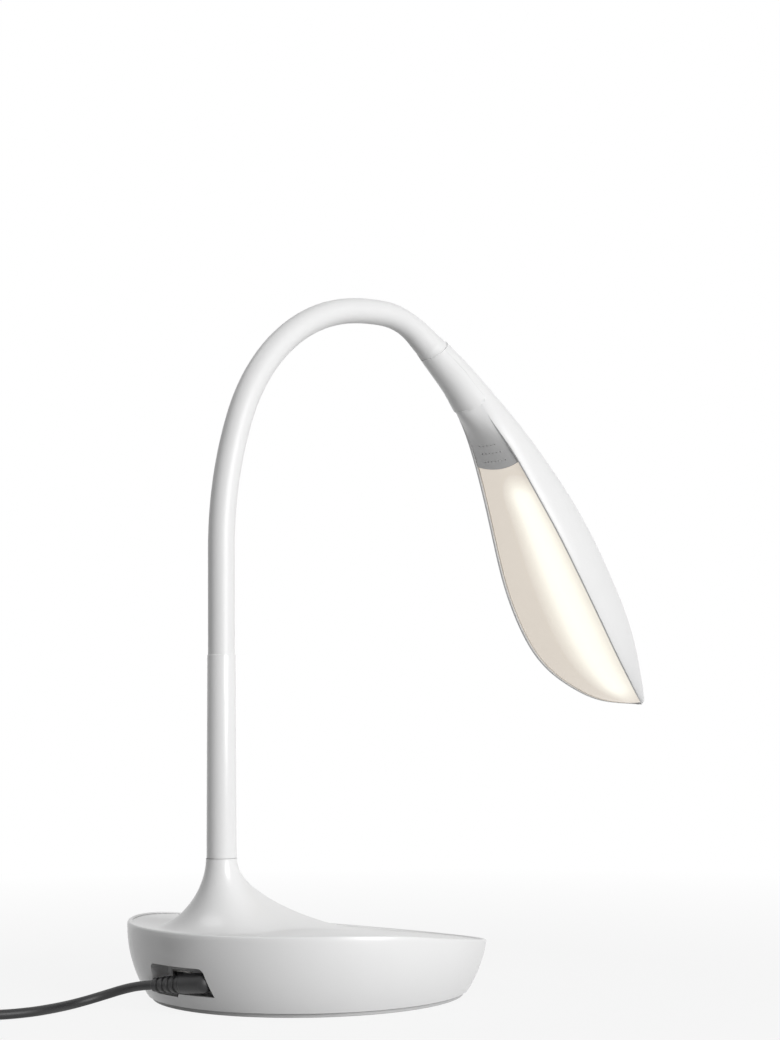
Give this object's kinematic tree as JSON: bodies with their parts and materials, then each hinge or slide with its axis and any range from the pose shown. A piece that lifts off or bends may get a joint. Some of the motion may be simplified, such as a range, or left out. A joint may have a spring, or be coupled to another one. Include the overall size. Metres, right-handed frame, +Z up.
{
  "type": "gooseneck desk lamp",
  "caption": "Desk lamp: round weighted base with a touch key and rear sockets, flared stem, flexible neck and leaf-shaped light head.",
  "frame": {"origin": "middle of the base's underside, on the surface that the lamp stands on", "axes": "+Z up, +X towards the front, over which the head hangs, +Y to the left of someone facing +X"},
  "size_m": [0.5095, 0.1942, 0.3305],
  "materials": {
    "white_plastic": "satin moulded",
    "white_silicone": "smooth matt sleeve",
    "white_paint": "satin powder coat",
    "opal": "opal diffuser, lit warm",
    "black_plastic": "matt moulded",
    "black_rubber": "soft matt",
    "grey_plastic": "moulded tray",
    "circuit": "circuit board",
    "steel": "zinc plated",
    "iron": "plain casting",
    "nickel": "nickel plated"
  },
  "bodies": {
    "base": {"base_shell": "white_plastic", "top_cover": "white_plastic", "touch_key": "white_plastic", "touch_board": "circuit", "bottom_plate": "steel", "foot_pad": "black_rubber", "ballast_weight": "iron", "bottom_screws": "steel", "driver_board": "circuit", "board_screws": "steel", "driver_parts": "black_plastic", "dc_jack": "black_plastic", "usb_shell": "nickel", "usb_core": "black_plastic", "neck_bracket": "steel", "bracket_screws": "steel", "neck_ferrule": "steel", "neck_nut": "steel", "stem_tube": "white_paint", "base_wire": "black_plastic", "neck_sleeve_0": "white_silicone", "neck_core_0": "steel", "flex_sleeve_1": "white_silicone", "flex_core_1": "steel"},
    "neck_1": {"neck_sleeve_1": "white_silicone", "neck_core_1": "steel", "flex_sleeve_2": "white_silicone", "flex_core_2": "steel"},
    "neck_2": {"neck_sleeve_2": "white_silicone", "neck_core_2": "steel", "flex_sleeve_3": "white_silicone", "flex_core_3": "steel"},
    "neck_3": {"neck_sleeve_3": "white_silicone", "neck_core_3": "steel", "flex_sleeve_4": "white_silicone", "flex_core_4": "steel"},
    "head": {"neck_sleeve_4": "white_silicone", "neck_core_4": "steel", "neck_cuff": "white_silicone", "head_clamp": "steel", "clamp_screw": "steel", "head_wire": "black_plastic", "head_shell": "white_plastic", "under_cover": "white_plastic", "diffuser": "opal", "light_tray": "grey_plastic", "led_board": "circuit", "leds": "opal", "tray_screws": "steel"},
    "lead": {"dc_plug": "black_rubber", "plug_barrel": "nickel", "power_lead": "black_rubber", "lead_coil": "black_rubber", "lead_tie": "black_plastic", "adapter_relief": "black_rubber", "adapter_body": "black_plastic", "adapter_pins": "nickel"}
  },
  "joints": [
    {"name": "neck_bend", "type": "hinge", "parent": "base", "child": "neck_1", "pos_m": [-0.053, 0, 0.1802], "axis": [0, 1, 0], "range_deg": [-25, 15], "deforming": ["flex_sleeve_1", "flex_core_1"]},
    {"name": "neck_sway", "type": "hinge", "parent": "neck_1", "child": "neck_2", "pos_m": [-0.0501, 0, 0.23302], "axis": [0.9833, 0, -0.1822], "range_deg": [-25, 25], "deforming": ["flex_sleeve_2", "flex_core_2"]},
    {"name": "arch_bend", "type": "hinge", "parent": "neck_2", "child": "neck_3", "pos_m": [-0.02819, 0, 0.28721], "axis": [0, 1, 0], "range_deg": [-35, 20], "deforming": ["flex_sleeve_3", "flex_core_3"]},
    {"name": "head_turn", "type": "hinge", "parent": "neck_3", "child": "head", "pos_m": [0.02845, 0, 0.32211], "axis": [0.1893, 0, -0.9819], "range_deg": [-30, 30], "deforming": ["flex_sleeve_4", "flex_core_4"]},
    {"name": "plug_pull", "type": "slide", "parent": "base", "child": "lead", "axis": [-1, 0, 0], "range_m": [0, 0.012]}
  ]
}
